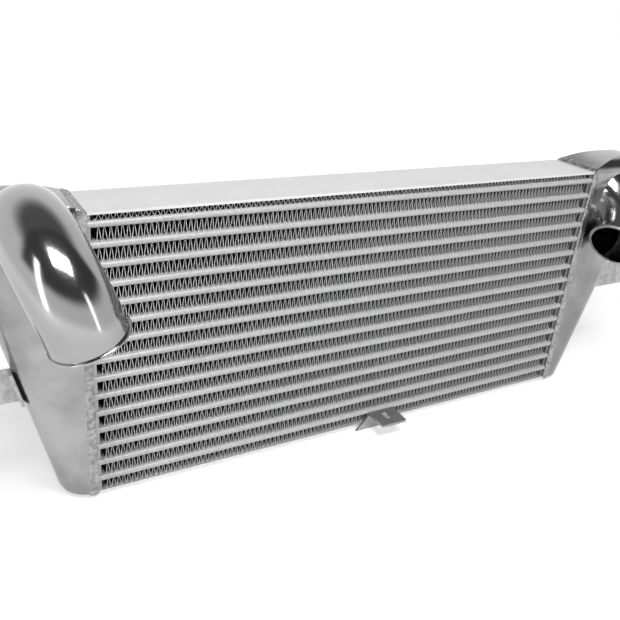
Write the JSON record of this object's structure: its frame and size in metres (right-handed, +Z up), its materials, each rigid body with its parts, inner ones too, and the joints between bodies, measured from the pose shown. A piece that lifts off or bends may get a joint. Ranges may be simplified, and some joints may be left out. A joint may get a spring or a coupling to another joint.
{
  "type": "intercooler",
  "caption": "Bar-and-plate charge-air cooler: a wide finned core between two leaning half-round end tanks, each with a bent hose pipe turned forward, and flat mounting brackets.",
  "frame": {"origin": "middle of the core's flat underside, halfway between the tanks and between front and back", "axes": "+X along the core towards the right end tank, +Y from the front to the back, along the air stream, +Z up"},
  "size_m": [0.907, 0.1743, 0.3187],
  "materials": {
    "plate": "brushed, bare",
    "fin": "mill",
    "tube": "brazed, satin",
    "tank": "polished",
    "weld": "dressed weld",
    "bracket": "satin"
  },
  "bodies": {
    "root": {"top_side_plate": "plate", "bottom_side_plate": "plate", "air_fin_01": "fin", "air_fin_02": "fin", "air_fin_03": "fin", "air_fin_04": "fin", "air_fin_05": "fin", "air_fin_06": "fin", "air_fin_07": "fin", "air_fin_08": "fin", "air_fin_09": "fin", "air_fin_10": "fin", "air_fin_11": "fin", "air_fin_12": "fin", "air_fin_13": "fin", "air_fin_14": "fin", "air_fin_15": "fin", "air_fin_16": "fin", "charge_tube_01": "tube", "charge_tube_02": "tube", "charge_tube_03": "tube", "charge_tube_04": "tube", "charge_tube_05": "tube", "charge_tube_06": "tube", "charge_tube_07": "tube", "charge_tube_08": "tube", "charge_tube_09": "tube", "charge_tube_10": "tube", "charge_tube_11": "tube", "charge_tube_12": "tube", "charge_tube_13": "tube", "charge_tube_14": "tube", "charge_tube_15": "tube", "turbulator_01": "fin", "turbulator_02": "fin", "turbulator_03": "fin", "turbulator_04": "fin", "turbulator_05": "fin", "turbulator_06": "fin", "turbulator_07": "fin", "turbulator_08": "fin", "turbulator_09": "fin", "turbulator_10": "fin", "turbulator_11": "fin", "turbulator_12": "fin", "turbulator_13": "fin", "turbulator_14": "fin", "turbulator_15": "fin", "left_end_bars": "tube", "right_end_bars": "tube", "left_tank": "tank", "right_tank": "tank", "left_tank_weld": "weld", "right_tank_weld": "weld", "left_pipe": "tank", "right_pipe": "tank", "left_bracket": "bracket", "right_bracket": "bracket", "lower_bracket": "bracket"}
  },
  "joints": []
}
